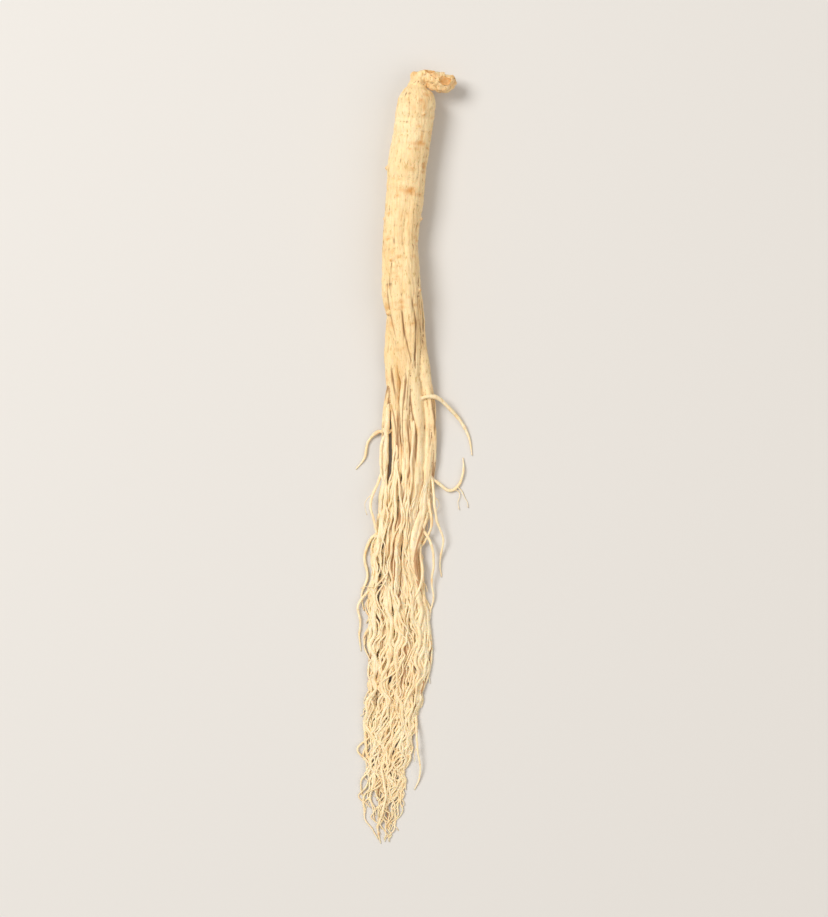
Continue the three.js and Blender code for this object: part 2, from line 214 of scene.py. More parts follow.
# Smooth noise: how many directions it is made of, the seeds that draw and shuffle them, and its height
NOISE_KEYS = 256
NOISE_SEED = 11
SHUFFLE_SEED = 12
NOISE_SHIFT = 17.3
NOISE_HEIGHT = 1.6

# The main root's form. FURROWS: how many run down it, wave, phase and depth. SWELLS: wave and height.
# CREASES: the places y where one runs round it.
FURROWS = [(4, 17, 0.4, 0.42), (7, 11, 2.1, 0.3)]
FURROW_DRIFT = 1.4
FURROW_SHARPNESS = 4
FURROW_FADE = {"low": -24, "high": 14, "least": 0.3}
SWELLS = [(5.3, 0.16), (2.9, 0.1)]
SWELL_TURN = 0.6
CREASES = [27.2, 24.4, 20.6, 17.9, 12.6, 7.4, 4.9, -1.6, -9.8, -17.2]
CREASE_DEPTH = 0.26
CREASE_WIDTH = 0.8
CREASE_SWAY = 0.5
CREASE_TURN = 1.7
CREASE_ROUND = (0.6, 0.4)
UNDERSIDE_RELIEF = 0.3

# Broad folds and fine lines that wander down a limb: how many are round it, the length over which one keeps
# its way, how far it sways against the room between two, and its width. LINE_SHOWS is where one fades in.
BODY_FOLDS = {"count": 12, "wave": 19, "sway": 0.9, "width": 0.4, "seed": 1}
BODY_LINES = {"count": 28, "wave": 9, "sway": 1.1, "width": 0.24, "seed": 2}
LEG_FOLDS = {"count": 8, "wave": 14, "sway": 1.1, "width": 0.4, "seed": 20}
LEG_LINES = {"count": 15, "wave": 8, "sway": 1.2, "width": 0.24, "seed": 21}
LINES_APART = 3.7
LINE_SWAYS_AT = 0.5
LINE_SHOWS_AT = 5.5
LINE_SHOWS = (-0.25, 0.2)

# Fine creases that run part of the way round, drawn in this order. half is half their reach, as an angle.
RING = {"half": (0.25, 1.1), "bow": (-0.5, 0.5), "width": (0.12, 0.26), "depth": (0.35, 1)}
BODY_RINGS = {"seed": 5, "count": 80, "low": -24, "high": 31}
SHOULDER_RINGS = {"seed": 6, "count": 45, "low": 17, "high": 31.5}
LEG_RINGS = {"seed": 31, "count": 60, "low": 4, "high": 125}

# Round pits and long slits where rootlets were lost: how tall, how wide as a share of that, and how deep
PIT = {"tall": (0.16, 0.34), "wide": (1.3, 2.6), "depth": (0.4, 1)}
SLIT = {"tall": (0.6, 1.5), "wide": (0.16, 0.28), "depth": (0.4, 1)}
PIT_RIM = {"at": 1.7, "width": 0.5}
BODY_PITS = {"seed": 7, "count": 150, "low": -40, "high": 31, "form": PIT}
BODY_SLITS = {"seed": 8, "count": 150, "low": -40, "high": 31, "form": SLIT}
LEG_PITS = {"seed": 30, "count": 46, "low": 6, "high": 125, "form": PIT}

# Noise round a limb: how many cells fit round it, and how long one is
BODY_HAIR = {"cells": 44, "stretch": 1.8, "seed": 4}
BODY_LUMPS = {"cells": 5, "stretch": 4.5, "seed": 8}
LEG_GRAIN = {"cells": 6, "stretch": 1.4, "seed": 22}
BARK = {"cells": 12, "stretch": 0.9, "seed": 41}
FLAKES = {"cells": 7, "stretch": 2, "seed": 42}
BLOTCHES = {"cells": 6, "stretch": 1.6, "seed": 44}
STUMP_GRAIN = {"cells": 4, "stretch": 0.9}

# The main root's skin: how far each mark lifts it, how dark it makes it, with brown lines of its own and
# painted shade in its folds, and how stained it makes it. The second of a pair is added towards the legs.
NECK = {"y": -19, "fade": 5}
SHOULDER = {"y": 16, "fade": 4}
BODY_LIFT = {
    "lumps": 0.13, "folds": (-0.12, -0.3), "lines": (-0.09, -0.12), "hair": 0.075, "rings": -0.11,
    "shoulder": -0.13, "pits": -0.16, "rims": 0.05, "slits": -0.1,
}
BODY_DARK = {"rings": 0.4, "shoulder": 0.35, "slits": 0.6, "folds": (0.34, 0.5), "lines": (0.36, 0.2)}
BODY_STAIN = {"pits": 0.9, "rims": 0.25, "patches": 1}
UNDERSIDE_DEPTH = {"least": 0.35, "shift": 0.9}

# Orange-brown patches on it: y, angle in degrees, half length and half width in mm, strength
PATCHES = [
    (4.8, 78, 0.8, 2.2, 0.6), (4.2, 45, 0.5, 2.2, 0.5), (19.6, 58, 1.5, 0.6, 0.7),
    (27.6, 62, 1, 1, 0.5), (27, 96, 0.9, 0.8, 0.35), (17.4, 74, 0.5, 2.8, 0.45),
    (-27, 18, 3, 1.2, 0.75), (-26, 150, 1.2, 1.2, 0.6), (-30.5, 146, 1.2, 1, 0.6),
    (-12, 120, 0.6, 1.4, 0.3), (12.5, 20, 1.6, 1.4, 0.35),
]
PATCH_RAGGED = 0.5
PATCH_SEED = 9

# The legs' skin, with painted shade in its folds besides their own brown lines, and how far down the root
# it turns young
LEG_GIRTH = [
    {"wave": 7, "apart": 1, "at": 0.5, "size": 0.1},
    {"wave": 2.6, "apart": 1, "at": 3.5, "size": 0.05},
]
LEG_LIFT = {"folds": -0.4, "lines": -0.18, "rings": -0.1, "rims": 0.1, "pits": -0.12, "grain": 0.05}
LEG_DARK = {"folds": 0.9, "lines": 0.5, "rings": 0.3}
LEG_STAIN = {"pits": 0.7, "rims": 0.3}
LEG_LEAST = 0.15
YOUNG_BELOW = (35, 90)

# The rhizome's skin. KNOTS: how many are round it, how fast they turn along it, and height. RING_SWAY: how
# often the rings swing on their way round, phase and size.
KNOTS = [(3, 1, 0.18), (5, -2, 0.12)]
RHIZOME_RINGS = {"apart": 1.35, "sharpness": 3}
RING_SWAY = [(2, 0.8, 0.3), (3, 0, 0.2)]
FLAKE_WIDTH = 0.22
LEAST_SLOPE = 0.02
RHIZOME_LIFT = {"knots": 1.3, "rings": -0.15, "bark": 0.17, "flakes": -0.15}
RHIZOME_DARK = {"rings": 0.35, "flakes": 0.6}
RHIZOME_STAIN = {"plain": 0.02, "bark": 0.15, "blotches": 0.7, "tip": 0.12}
RHIZOME_FADE = 4
TIP_FADE = 12
BLOTCH_FROM = 0.1

# Dished scars on the rhizome: x, y, z and radius of the ball that dishes each one
SCARS = [
    (11.3, 34.9, 9.7, 2.1), (14.3, 36.9, 5.6, 1.5),
    (6.9, 38.2, 7.9, 1.6), (8.4, 31, 7.6, 1.4),
]
DISH_RAGGED = {"size": 0.09, "grain": 0.9, "seed": 43}
DISH_RIM = {"height": 0.16, "at": 0.3, "width": 0.25}
DISH_SOFT = 0.2
DISH_EDGE = 0.25
DISH_MOTTLE = {"grain": 0.6, "seed": 44}
DISH_STAIN = (0.85, 0.4)
DISH_DARK = {"strength": 1.5, "from": 0.1, "most": 0.35}

# A bud beside the rhizome, and how far up its rings are and how wide, as shares of its radius
BUD = {"centre": (2.75, 36.05, 6.2), "radius": 1.35}
BUD_RINGS = [(-1.1, 0.9), (-0.6, 1), (-0.1, 1), (0.35, 0.9), (0.7, 0.66), (0.92, 0.4), (1, 0.15)]
BUD_LEAN = (-0.1, 0.8, 0.5)
BUD_STAIN = (0.1, 0.5)
BUD_DARK = 0.1
BUD_SEED = 51

# Stubs of lost rootlets: share of the way down the main root, angle in degrees, and radius
STUBS = [
    (0.37, 176, 0.75), (0.5, 172, 0.65), (0.49, 8, 0.7), (0.22, 62, 0.6),
    (0.6, 118, 0.7), (0.68, 24, 0.7), (0.74, 150, 0.75),
]

# A stub's rings: how far out each is and how wide, as shares of its radius, and its stain
STUB_RINGS = [
    (-1.6, 1, 0.1), (-0.9, 1.25, 0.1), (-0.3, 1.2, 0.15), (0.05, 0.95, 0.2), (0.3, 0.74, 0.25),
    (0.55, 0.6, 0.4), (0.68, 0.45, 0.6), (0.62, 0.28, 0.9), (0.5, 0.1, 1),
]
STUB_LEAN = 0.5
STUB_DARK = 0.3
STUB_YOUNG = 0.3
STUB_SEED = 60
STUMP_ROUGH = 0.22
NO_STUMP_LEANS = (0.3, 0.2, 1)

# A rootlet's skin: slow changes of its girth, and knots. Its number times apart picks a line of the noise.
FINE_TIP = 0.12
ROOTLET_GIRTH = {"wave": 1.7, "apart": 0.37, "at": 0.5, "size": 0.16}
ROOTLET_KNOTS = {"wave": 2.4, "apart": 0.71, "at": 2.5, "size": 0.7, "from": 0.35}
ROOTLET_WIGGLE = {"wave": 2.7, "apart": 0.53, "at": 1.5, "size": 0.16}
ROOTLET_DARK = 0.04
ROOTLET_STAIN = (0.05, 0.9)

# Fusing: what is nearer than WELD is one place, and a place that moved further than SEAM_MOVED is on a seam
WELD = 0.002
SEAM_MOVED = 1e-3
SEAM_REACH = 0.9
SEAM_ROUNDS = 14
SEAM_EASE = 0.5
# Painted shade along each seam where limbs meet: how far it reaches, and how dark it is at the seam
PAINTED_SEAM_SHADE_REACH = 0.4
PAINTED_SEAM_SHADE = 0.45
PRESS = 0.15

# The mat of rootlets at places y: its left and right edges in x, and its height
MAT = np.array([
    (-172, -7.6, -4.6, 0.7), (-165, -9.4, -3.4, 1), (-158, -10.2, -1.6, 1.3), (-150, -10.5, 0.3, 1.6),
    (-142, -10.5, 2, 2), (-134, -10.5, 3.6, 2.3), (-126, -10.2, 5.6, 2.7), (-119, -9.8, 6.6, 3),
    (-112, -9.4, 6, 3.2), (-104, -9, 4.6, 3.6), (-97, -8.6, 3.2, 3.9), (-91, -8, 3.6, 4.2),
    (-84, -7.3, 5.8, 4.5), (-74, -6.2, 7, 5), (-60, -5.4, 7.4, 6), (-46, -4.6, 6.4, 8),
])
MAT_SEED = 21
MAT_STEP = 1.1
MAT_POINTS = 4
MAT_GAP = 0.04
MAT_LANES = 1.05
MAT_DOME = {"reach": 1.1, "least": 0.05}
MAT_RIPPLE = {"turns": 1.7, "size": 0.2}
SECOND_SWING = {"turns": 2.3, "size": 0.4}
LEG_END = 4
TIP_REACH = (0.55, 1)
TAPER = 2.6
RISE = 9

# How the mat gathers into bundles with holes between: wave down the root, cells across it, and size. By
# the pair LOOSE it gets looser on the way down.
CLUMPS = [(13, 2.2, 0.9), (7, 3.8, 1.15), (3.4, 7, 0.45)]
CLUMP_AT = 0.5
LOOSE = (0.5, 2)
LOOSE_BETWEEN = (70, 165)
LOOSE_AFTER = 3

# The rootlets of the mat, by kind. A pair holds the limits of a draw. drift is how much of the mat's half
# width a rootlet crosses, and sway how far it swings to the sides of its way, over each wave.
KINDS = {
    "strands": {
        "count": 84, "start": (-112, -47), "length": (36, 96), "radius": (0.34, 0.62),
        "layer": (0.15, 0.9), "drift": 0.35, "sway": 0.4, "wave": (9, 24), "sides": 7,
    },
    "fine": {
        "count": 165, "start": (-140, -54), "length": (18, 60), "radius": (0.2, 0.38),
        "layer": (0.1, 1), "drift": 0.5, "sway": 0.38, "wave": (5, 13), "sides": 6,
    },
    "crossing": {
        "count": 26, "start": (-146, -64), "length": (18, 40), "radius": (0.2, 0.34),
        "layer": (0.85, 1), "drift": 1.2, "sway": 0.9, "wave": (12, 24), "sides": 6,
    },
}

# Short thin branches that fork off the rootlets
BRANCH_SEED = 33
BRANCH_COUNT = 120
BRANCH_AT = (0.2, 0.95)
BRANCH_LENGTH = (3, 8)
BRANCH_RADIUS = (0.12, 0.2)
BRANCH_SHARE = 0.8
BRANCH_TURN = (0.2, 0.8)
BRANCH_BEND = (-0.5, 0.5)
BRANCH_KEEPS = 0.5
BRANCH_PULL = 0.3
BRANCH_DROP = 0.5
BRANCH_STEP = 1.1
BRANCH_TIP = 0.06

# The margin inside the frame's box: branches that leave it are left out, and rootlets of the mat end above
# its bottom.
MARGIN = 0.4
LOWEST = cad_box[0].y / MM + MARGIN
LEFTMOST = cad_box[0].x / MM + MARGIN
RIGHTMOST = cad_box[1].x / MM - MARGIN

# Tones of the old skin of the main root and the young skin of the rootlets, as on a screen
TONES = {
    "cream": ((246, 219, 168), (255, 238, 202)),
    "tan": ((228, 188, 130), (248, 214, 162)),
    "brown": ((128, 78, 38), (160, 106, 58)),
    "ochre": ((212, 140, 52), (222, 168, 100)),
    "olive": ((198, 166, 102), (236, 204, 148)),
}
PALE = (250, 230, 186)

# Noises that mark the skin, one over another: the tone that each brings, its strength, its cells in a metre
# each way, its detail and roughness, and the part of it that shows
MARKS = {
    "mottle": ("tan", 0.5, (260, 160, 260), 5, 0.6, (0.4, 0.66)),
    "bloom": ("pale", 0.5, (90, 60, 90), 3, 0.5, (0.45, 0.7)),
    "streaks": ("tan", 0.6, (2100, 130, 2100), 4, 0.6, (0.5, 0.7)),
    "dashes": ("olive", 0.8, (2000, 420, 2000), 3, 0.6, (0.57, 0.66)),
    "bands": ("tan", 0.35, (340, 2300, 340), 3, 0.6, (0.58, 0.72)),
    "speckle": ("ochre", 0.4, (2600, 1700, 2600), 3, 0.6, (0.6, 0.74)),
}
STAIN_STRENGTH = 0.85
# How far the darker tone and painted shade turn the skin tan, and where and how far its deepest part turns
# brown
DARK_TONE_AND_SHADE_STRENGTH = 0.3
DARKEST_TONE_AND_SHADE_STRENGTH = 0.8
DARKEST_TONE_AND_SHADE_FROM = (0.35, 0.95)
SKIN_ROUGHNESS = (0.52, 0.7)
SKIN_BUMPS = {
    "grain": {"scale": (5200, 2600, 5200), "strength": 0.4, "distance": 0.00012},
    "folds": {"scale": (2600, 300, 2600), "strength": 0.6, "distance": 0.0003},
}
BUMP_DETAIL = 4
BUMP_ROUGHNESS = 0.6
SKIN_SURFACE = {
    "Subsurface Weight": 0.2,
    "Subsurface Radius": (1, 0.55, 0.28),
    "Subsurface Scale": 0.0005,
    "Specular IOR Level": 0.35,
}

# The stage: the table top and the lights, in metres, and the camera
TABLE_SIZE = 6
TABLE_DROP = 0.02 * MM
TABLE_TONE = (216, 214, 211)
TABLE_SURFACE = {"Roughness": 0.85, "Specular IOR Level": 0.2}
LIGHTS = {
    "key": {"place": (-0.74, 0.36, 1.05), "size": 0.6, "power": 14.5, "colour": (1, 0.98, 0.95)},
    "fill": {"place": (0.8, -0.3, 0.9), "size": 1, "power": 4, "colour": (1, 0.87, 0.74)},
}
LIGHTS_AIM = (0, -0.068, 0)
SKY = {"Color": (1, 0.98, 0.95, 1), "Strength": 0.46}
LENS = 85
SENSOR = 36
FRAME_SHARE = 0.84
CLIP_START = 0.01


def dice(seed):
    """Draws numbers between two limits, the same ones on every run."""
    state = seed

    def roll(low, high):
        nonlocal state
        state = (state * DICE_TIMES + DICE_PLUS) % DICE_SIZE
        return low + (high - low) * state / DICE_SIZE

    return roll


def lerp(low, high, share):
    return low + (high - low) * share


def growing(pair, share):
    """The first of a pair, with a share of the second added to it."""
    least, more = pair
    return least + more * share


def smooth_step(value, low, high):
    share = np.clip((value - low) / (high - low), 0, 1)
    return share * share * (3 - 2 * share)


def bell(off):
    """1 where off is 0, falling to almost nothing at 2 on either side."""
    return np.exp(-(off**2))


def unit(vectors):
    return vectors / np.linalg.norm(vectors, axis=-1, keepdims=True)


def angle_apart(a, b):
    return (a - b + math.pi) % TAU - math.pi


# Smooth noise

GRADIENTS = unit(np.random.default_rng(NOISE_SEED).normal(size=(NOISE_KEYS, 3)))
SHUFFLE = np.random.default_rng(SHUFFLE_SEED).permutation(NOISE_KEYS)


def noise(x, y, z, seed=0):
    """Gradient noise of about -1 to 1 at places x, y, z, which may be arrays."""
    place = np.stack(np.broadcast_arrays(x, y, z), axis=-1).astype(float) + NOISE_SHIFT * seed
    cell = np.floor(place).astype(int)
    inside = place - cell
    ease = inside * inside * inside * (inside * (inside * 6 - 15) + 10)
    total = np.zeros(place.shape[:-1])
    for corner in itertools.product((0, 1), repeat=3):
        key = (cell + corner) % NOISE_KEYS
        hashed = SHUFFLE[key[..., 0]]
        for axis in (1, 2):
            hashed = SHUFFLE[(hashed + key[..., axis]) % NOISE_KEYS]
        towards = (GRADIENTS[hashed] * (inside - corner)).sum(axis=-1)
        weight = np.prod(np.where(corner, ease, 1 - ease), axis=-1)
        total += weight * towards
    return NOISE_HEIGHT * total


def round_noise(angle, along, cells, stretch, seed):
    """Noise that closes round a limb, with a number of cells round it, each as long as stretch."""
    radius = cells / TAU
    return noise(radius * np.cos(angle), radius * np.sin(angle), along / stretch, seed)


def lined_noise(along, number, line):
    """Noise along a limb, on a line of its own for each number."""
    return noise(along / line["wave"], number * line["apart"], line["at"])


# Limbs

def sized(route, radius):
    """A route with the radius filled in that its last numbers are shares of."""
    return [(x, y, gap, share * radius) for x, y, gap, share in route]


BODY = sized(BODY_ROUTE, BODY_RADIUS)
LEGS = [sized(route, LEG_RADIUS) for route in LEG_ROUTES.values()]


class Spine:
    """The middle line of a route and its radius, as one smooth curve through its points."""

    def __init__(self, route):
        x, y, gap, radius = np.array(route, float).T
        points = np.column_stack([x, y, gap + radius, radius])
        before = 2 * points[0] - points[1]
        after = 2 * points[-1] - points[-2]
        self.points = np.vstack([before, points, after])
        self.spans = len(points) - 1
        self.share = np.linspace(0, 1, SPINE_SAMPLES * self.spans)
        steps = np.linalg.norm(np.diff(self.at(self.share)[0], axis=0), axis=1)
        self.reached = np.concatenate([[0], np.cumsum(steps)])
        self.length = self.reached[-1]
        self.lowest = self.points[:, 1].min()

    def at(self, share):
        """Centres, directions and radii at shares of the way along."""
        where = np.clip(np.asarray(share, float), 0, 1) * self.spans
        span = np.minimum(where.astype(int), self.spans - 1)
        w = (where - span)[:, None]
        a, b, c, d = (self.points[span + k] for k in range(4))
        leave, arrive = (c - a) / 2, (d - b) / 2
        square = 3 * (c - b) - 2 * leave - arrive
        cube = 2 * (b - c) + leave + arrive
        value = b + leave * w + square * w**2 + cube * w**3
        slope = leave + 2 * square * w + 3 * cube * w**2
        return value[:, :3], unit(slope[:, :3]), value[:, 3]

    def share_at_y(self, y):
        """The share of the way at which the line first comes down to y."""
        return self.share[np.argmax(self.at(self.share)[0][:, 1] < y)]

    def even(self, count):
        """Shares that lie at equal lengths along the line."""
        return np.interp(np.linspace(0, self.length, count), self.reached, self.share)


def sides_of(along):
    """The two directions across a limb: to its side, and to its top."""
    side = unit(np.cross(UP, along))
    return side, np.cross(along, side)


class Solid:
    """Vertices in mm, faces, and the named shades that its skin takes at each vertex."""

    def __init__(self, places, faces, shades=None):
        self.places = places
        self.faces = faces
        self.shades = shades or {}

    def deepen(self, name, values):
        self.shades[name] = np.maximum(self.shades[name], values)


def tube(centre, reach, side, top, shades):
    """A closed skin round a line of centres, with its reach at each of rings by sides."""
    rings, sides = reach.shape
    angle = np.arange(sides) * TAU / sides
    out = np.cos(angle)[None, :, None] * side[:, None] + np.sin(angle)[None, :, None] * top[:, None]
    skin = centre[:, None] + reach[:, :, None] * out
    places = np.vstack([skin.reshape(-1, 3), centre[:1], centre[-1:]])
    index = np.arange(rings * sides).reshape(rings, sides)
    turned = np.roll(index, -1, axis=1)
    quads = np.stack([index[:-1], turned[:-1], turned[1:], index[1:]], axis=-1).reshape(-1, 4)
    first, last = rings * sides, rings * sides + 1
    caps = [(first, b, a) for a, b in zip(index[0], turned[0])]
    caps += [(last, a, b) for a, b in zip(index[-1], turned[-1])]
    full = {}
    for name, values in shades.items():
        flat = np.broadcast_to(values, reach.shape).ravel()
        full[name] = np.concatenate([flat, [flat[0], flat[-1]]])
    return Solid(places, quads.tolist() + caps, full)


def limb(route, sides, step, dress):
    """A limb along a route. dress gives its skin's height and shades at places on it."""
    spine = Spine(route)
    share = spine.even(int(spine.length / step) + 1)
    centre, along, radius = spine.at(share)
    side, top = sides_of(along)
    angle = (np.arange(sides) * TAU / sides)[None, :]
    gone = np.linspace(0, spine.length, len(share))[:, None]
    height, shades = dress(centre[:, 1:2], angle, gone, radius[:, None])
    return tube(centre, radius[:, None] + height, side, top, shades)


def joined(solids):
    """Several solids as one, with no cutting."""
    faces = []
    start = 0
    for solid in solids:
        faces += [tuple(v + start for v in face) for face in solid.faces]
        start += len(solid.places)
    shades = {name: np.concatenate([solid.shades[name] for solid in solids]) for name in solids[0].shades}
    return Solid(np.vstack([solid.places for solid in solids]), faces, shades)


def placed(name, data):
    """A new object in the scene."""
    made = bpy.data.objects.new(name, data)
    bpy.context.scene.collection.objects.link(made)
    return made


def mesh_object(name, solid):
    """A Blender mesh object, in metres, with the solid's shades as vertex attributes."""
    mesh = bpy.data.meshes.new(name)
    mesh.from_pydata((solid.places * MM).tolist(), [], solid.faces)
    for shade, values in solid.shades.items():
        mesh.attributes.new(shade, "FLOAT", "POINT").data.foreach_set("value", values.astype(np.float32))
    mesh.shade_smooth()
    return placed(name, mesh)


# Marks in a skin, each from 0 to 1

def no_marks(along, angle):
    return np.zeros(np.broadcast_shapes(along.shape, angle.shape))


def drawn(seed, count, low, high, form):
    """Rows of a place along a limb, an angle round it, and a value within each of a form's limits."""
    draw = np.random.default_rng(seed)
    pairs = [(low, high), (0, TAU), *form.values()]
    return [[draw.uniform(*pair) for pair in pairs] for _ in range(count)]


def wrinkles(along, angle, radius, seed, count, wave, sway, width):
    """Lines that wander down a limb, and come and go."""
    marks = no_marks(along, angle)
    for line in range(count):
        middle = TAU / count * (line + sway * noise(along / wave, LINES_APART * line, LINE_SWAYS_AT, seed))
        strength = smooth_step(noise(along / wave, LINES_APART * line, LINE_SHOWS_AT, seed), *LINE_SHOWS)
        off = radius * angle_apart(angle, middle) / width
        marks = np.maximum(marks, strength * bell(off))
    return marks


def ring_marks(along, angle, seed, count, low, high):
    """Fine creases that run part of the way round."""
    marks = no_marks(along, angle)
    for at, middle, half, bow, width, depth in drawn(seed, count, low, high, RING):
        apart = angle_apart(angle, middle) / half
        off = (along - at - bow * apart**2) / width
        marks = np.maximum(marks, depth * bell(off) * np.clip(1 - apart**2, 0, 1))
    return marks


def pit_marks(along, angle, radius, seed, count, low, high, form):
    """Small pits where rootlets were lost: their hollows, and the rims round them."""
    hollow = no_marks(along, angle)
    rim = np.zeros_like(hollow)
    for at, middle, tall, wide, depth in drawn(seed, count, low, high, form):
        away = np.hypot((along - at) / tall, radius * angle_apart(angle, middle) / (tall * wide))
        hollow = np.maximum(hollow, depth * bell(away))
        rim = np.maximum(rim, depth * bell((away - PIT_RIM["at"]) / PIT_RIM["width"]))
    return hollow, rim


def cracks(value, radius, width):
    """Lines where a noise round a limb crosses zero."""
    across = 2 * TAU / value.shape[1] * radius
    slope = np.abs(np.roll(value, -1, axis=1) - np.roll(value, 1, axis=1)) / across
    return bell(value / (width * np.maximum(slope, LEAST_SLOPE)))


def weighed(weights, marks, share=0, total=0):
    """Adds the marks by their weights. The second of a pair counts by the share."""
    for name, weight in weights.items():
        if isinstance(weight, tuple):
            weight = growing(weight, share)
        total = total + weight * marks[name]
    return total


def shades_of(marks, dark, stain, young, share=0):
    """How dark the marks make a skin, in its own tone and in painted shade, how stained, and how young it
    is.
    """
    crevice = np.clip(weighed(dark, marks, share), 0, 1)
    return {"crevice": crevice, "stain": np.clip(weighed(stain, marks), 0, 1), "young": young}


# The main root's skin

def main_form(y, angle):
    """Long furrows, slow swellings and creases, fainter underneath."""
    height = 0
    for i, (wave, size) in enumerate(SWELLS):
        height = height + size * np.sin(y / wave + (i + 1) * np.cos(angle + SWELL_TURN))
    share = lerp(1, FURROW_FADE["least"], smooth_step(y, FURROW_FADE["low"], FURROW_FADE["high"]))
    for count, wave, phase, depth in FURROWS:
        turn = count * angle + FURROW_DRIFT * np.sin(y / wave + phase) + phase
        height = height - share * depth * (0.5 + 0.5 * np.cos(turn)) ** FURROW_SHARPNESS
    for i, at in enumerate(CREASES):
        off = (y - at - CREASE_SWAY * np.sin(angle + i)) / CREASE_WIDTH
        height = height - CREASE_DEPTH * bell(off) * growing(CREASE_ROUND, np.cos(angle - CREASE_TURN * i))
    return height * lerp(UNDERSIDE_RELIEF, 1, 0.5 + 0.5 * np.sin(angle))


def body_patches(y, angle):
    patches = 0
    for at, degrees, tall, wide, strength in PATCHES:
        across = BODY_RADIUS * angle_apart(angle, math.radians(degrees))
        ragged = 1 + PATCH_RAGGED * noise(across, y, strength, PATCH_SEED)
        away = np.hypot((y - at) / tall, across / wide) * ragged
        patches = np.maximum(patches, strength * bell(away))
    return patches


def dress_body(y, angle, _, radius):
    """The main root: ringed and pitted near the crown, and more furrowed towards the legs."""
    lower = 1 / (1 + np.exp((y - NECK["y"]) / NECK["fade"]))
    upper = 1 / (1 + np.exp((SHOULDER["y"] - y) / SHOULDER["fade"]))
    pits, rims = pit_marks(y, angle, radius, **BODY_PITS)
    slits, _ = pit_marks(y, angle, radius, **BODY_SLITS)
    marks = {
        "folds": wrinkles(y, angle, radius, **BODY_FOLDS),
        "lines": wrinkles(y, angle, radius, **BODY_LINES),
        "rings": ring_marks(y, angle, **BODY_RINGS),
        "shoulder": upper * ring_marks(y, angle, **SHOULDER_RINGS),
        "lumps": round_noise(angle, y, **BODY_LUMPS),
        "hair": round_noise(angle, y, **BODY_HAIR),
        "patches": body_patches(y, angle),
        "pits": pits,
        "rims": rims,
        "slits": slits,
    }
    height = weighed(BODY_LIFT, marks, lower, main_form(y, angle))
    pressed = lerp(UNDERSIDE_DEPTH["least"], 1, np.clip(UNDERSIDE_DEPTH["shift"] + np.sin(angle), 0, 1))
    height = np.where(height < 0, height * pressed, height)
    return height, shades_of(marks, BODY_DARK, BODY_STAIN, 0.0, lower)


def leg_dresser(number):
    """The skin of one leg: folds that follow it down, small pits, and a slow change of girth."""

    def own(rule):
        return {**rule, "seed": number + rule["seed"]}

    def dress(y, angle, gone, radius):
        girth = sum(line["size"] * lined_noise(gone, number, line) for line in LEG_GIRTH)
        pits, rims = pit_marks(gone, angle, radius, **own(LEG_PITS))
        marks = {
            "folds": wrinkles(gone, angle, radius, **own(LEG_FOLDS)),
            "lines": wrinkles(gone, angle, radius, **own(LEG_LINES)),
            "rings": ring_marks(gone, angle, **own(LEG_RINGS)),
            "grain": round_noise(angle, gone, **own(LEG_GRAIN)),
            "pits": pits,
            "rims": rims,
        }
        thick = np.clip(radius / LEG_RADIUS, LEG_LEAST, 1)
        height = radius * girth + thick * weighed(LEG_LIFT, marks)
        return height, shades_of(marks, LEG_DARK, LEG_STAIN, smooth_step(-y, *YOUNG_BELOW))

    return dress


# The crown

def dress_rhizome(y, angle, gone, radius):
    """Knots, close rings and scaly bark round the rhizome."""
    swings = (size * np.sin(count * angle + phase) for count, phase, size in RING_SWAY)
    turns = TAU * sum(swings, gone) / RHIZOME_RINGS["apart"]
    fade = np.clip(gone / RHIZOME_FADE, 0, 1)
    marks = {
        "knots": sum(height * np.sin(count * angle + turn * y) for count, turn, height in KNOTS),
        "rings": (0.5 + 0.5 * np.cos(turns)) ** RHIZOME_RINGS["sharpness"],
        "bark": round_noise(angle, gone, **BARK),
        "flakes": cracks(round_noise(angle, gone, **FLAKES), radius, FLAKE_WIDTH),
        "blotches": fade * np.clip(round_noise(angle, gone, **BLOTCHES) - BLOTCH_FROM, 0, 1),
        "tip": np.clip(gone / TIP_FADE, 0, 1),
        "plain": 1,
    }
    shades = shades_of(marks, RHIZOME_DARK, RHIZOME_STAIN, 0.0)
    shades["crevice"] = fade * shades["crevice"]
    return fade * weighed(RHIZOME_LIFT, marks), shades


def dish(solid, x, y, z, radius):
    """Presses a ragged ball into a skin, and raises a rim round the dish and stains it."""
    away = solid.places - (x, y, z)
    distance = np.linalg.norm(away, axis=1)
    bumps = noise(*(solid.places / DISH_RAGGED["grain"]).T, DISH_RAGGED["seed"])
    outside = distance - radius * (1 + DISH_RAGGED["size"] * bumps)
    rim = DISH_RIM["height"] * bell((outside - DISH_RIM["at"]) / DISH_RIM["width"])
    moved = DISH_SOFT * np.log1p(np.exp(-outside / DISH_SOFT)) - rim
    solid.places += away * (moved / np.maximum(distance, TINY))[:, None]
    mottle = noise(*(solid.places / DISH_MOTTLE["grain"]).T, DISH_MOTTLE["seed"])
    stained = growing(DISH_STAIN, mottle) * np.exp(-np.clip(outside, 0, None) / DISH_EDGE)
    dark = DISH_DARK["strength"] * np.clip(-outside / radius - DISH_DARK["from"], 0, DISH_DARK["most"])
    solid.deepen("stain", stained)
    solid.deepen("crevice", dark)


def rough_stump(place, lean, size, out, wide, shades, seed):
    """A short ragged stump on a skin. out and wide are shares of its size."""
    angle = np.arange(STUMP_SIDES)[None, :] * TAU / STUMP_SIDES
    rough = 1 + STUMP_ROUGH * round_noise(angle, out[:, None], seed=seed, **STUMP_GRAIN)
    side = unit(np.cross(lean, NO_STUMP_LEANS))
    top = np.cross(lean, side)
    centre = place + size * out[:, None] * lean
    across = (len(out), 1)
    return tube(centre, size * wide[:, None] * rough, np.tile(side, across), np.tile(top, across), shades)


